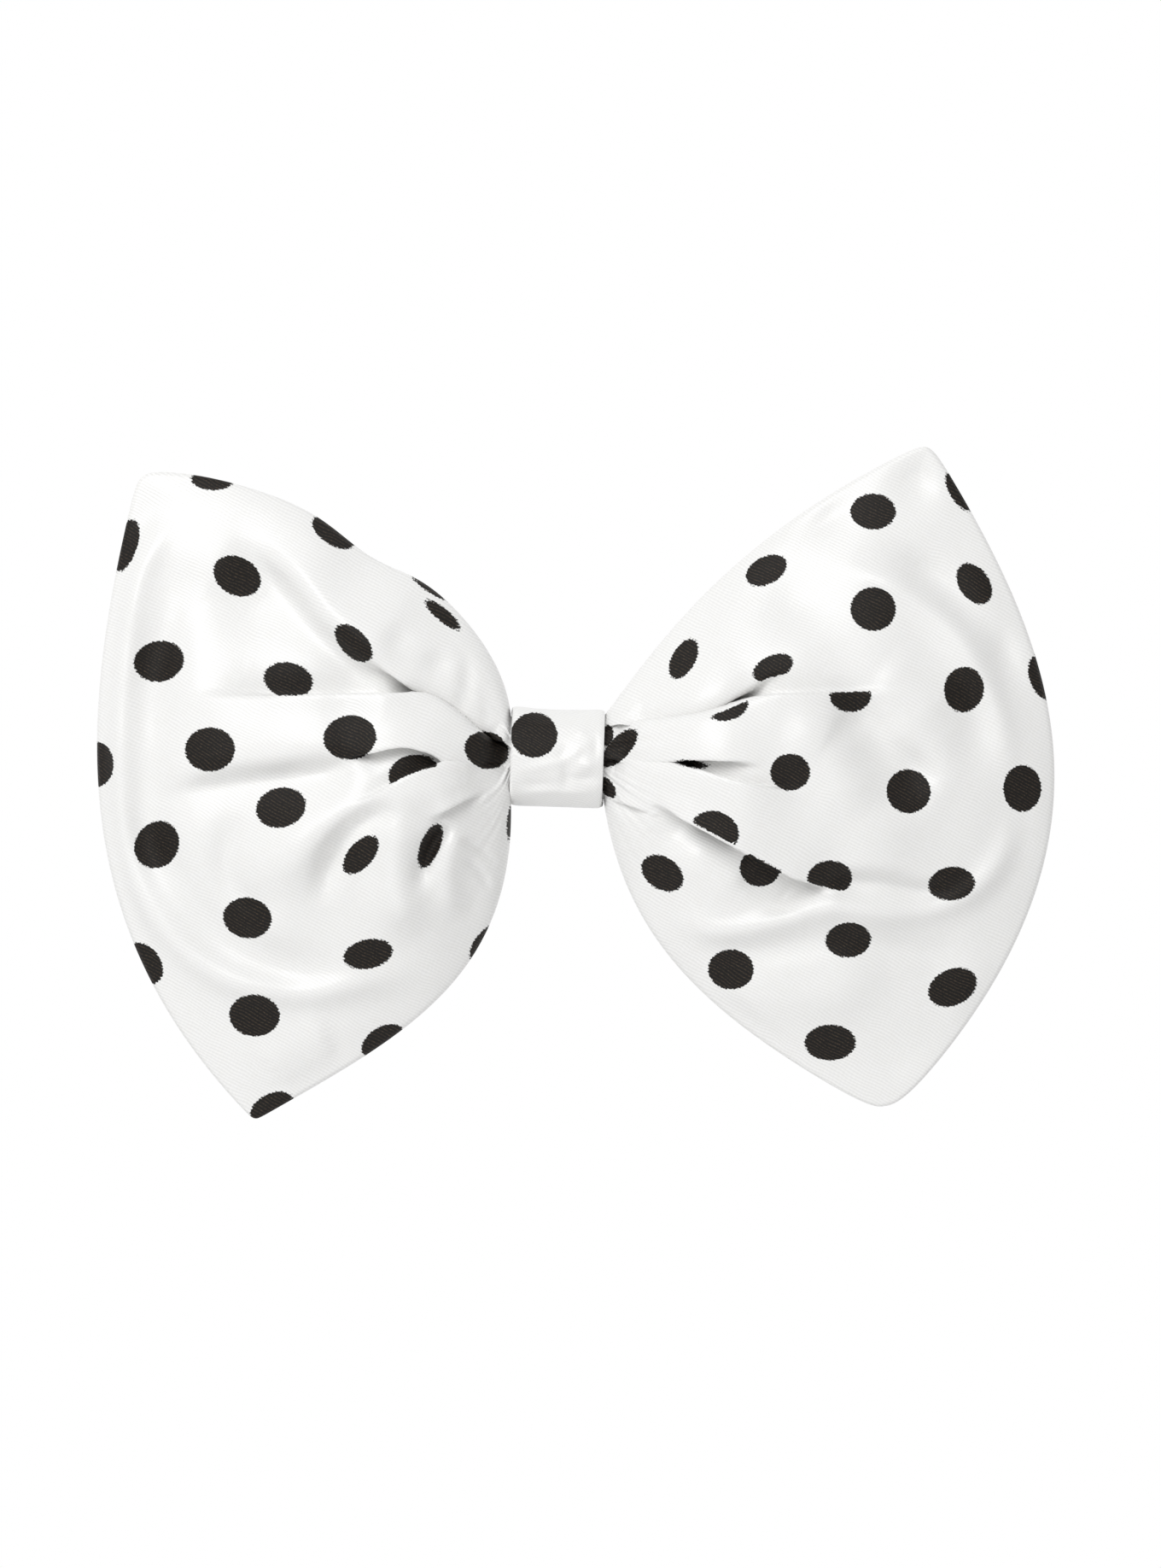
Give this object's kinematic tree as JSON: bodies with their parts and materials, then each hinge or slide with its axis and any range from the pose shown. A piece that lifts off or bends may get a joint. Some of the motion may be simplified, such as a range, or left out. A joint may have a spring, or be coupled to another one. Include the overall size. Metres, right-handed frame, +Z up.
{
  "type": "hair bow",
  "caption": "Gathered satin hair bow with printed dots, a folded centre band and a sprung hair clip behind.",
  "frame": {"origin": "the flat outer face of the clip's lower jaw, where it lies on the head, behind the middle of the bow", "axes": "+X to the viewer's right along the bow, +Y back into the head, +Z up as worn"},
  "size_m": [0.1319, 0.0305, 0.092],
  "materials": {
    "satin": "satin",
    "wadding": "matte",
    "thread": "satin",
    "glue": "satin",
    "ribbon": "matte",
    "clip_steel": "satin",
    "spring_steel": "gloss"
  },
  "bodies": {
    "bow": {"front_panel": "satin", "back_panel": "satin", "left_wadding": "wadding", "right_wadding": "wadding", "seam_thread": "thread", "gather_thread": "thread", "centre_band": "satin", "band_stitches": "thread", "glue_bead": "glue", "clip_lining": "ribbon", "top_jaw": "clip_steel", "hinge_pin": "clip_steel", "torsion_spring": "spring_steel"},
    "jaw": {"lower_jaw": "clip_steel"}
  },
  "joints": [
    {"name": "jaw_hinge", "type": "hinge", "parent": "bow", "child": "jaw", "pos_m": [0.016, -0.0039, 0], "axis": [0, 0, -1], "range_deg": [0, 30], "stiffness_Nm_per_rad": 0.05, "springref_deg": -28.65, "deforming": ["torsion_spring"]}
  ]
}
